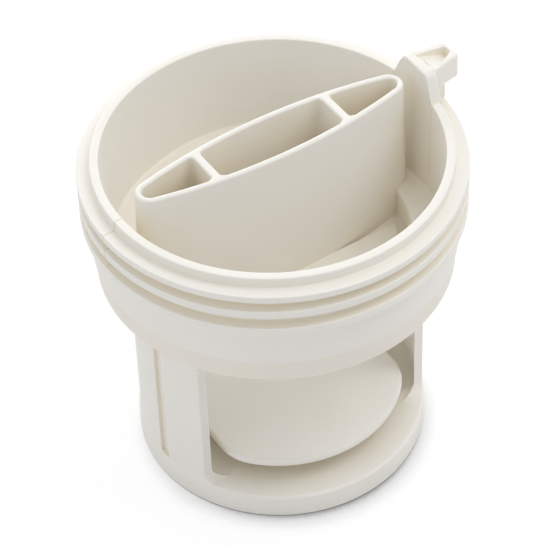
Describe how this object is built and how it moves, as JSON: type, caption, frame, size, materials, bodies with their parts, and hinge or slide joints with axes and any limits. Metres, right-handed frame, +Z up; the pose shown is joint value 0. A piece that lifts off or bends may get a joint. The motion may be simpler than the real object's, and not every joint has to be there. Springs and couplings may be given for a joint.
{
  "type": "drain pump cap",
  "caption": "Screw-in drain pump cap with a sealing collar, hollow finger grip, locking tab and an open cage that catches debris.",
  "frame": {"origin": "centre of the face that the base ring stands on, on the axis of the collar", "axes": "+Z up along the collar's axis towards the grip, +X along the grip towards the locking tab"},
  "size_m": [0.0696, 0.066, 0.0684],
  "materials": {
    "plastic": "satin warm grey-white moulded plastic"
  },
  "bodies": {
    "root": {"drain_cap": "plastic"}
  },
  "joints": []
}
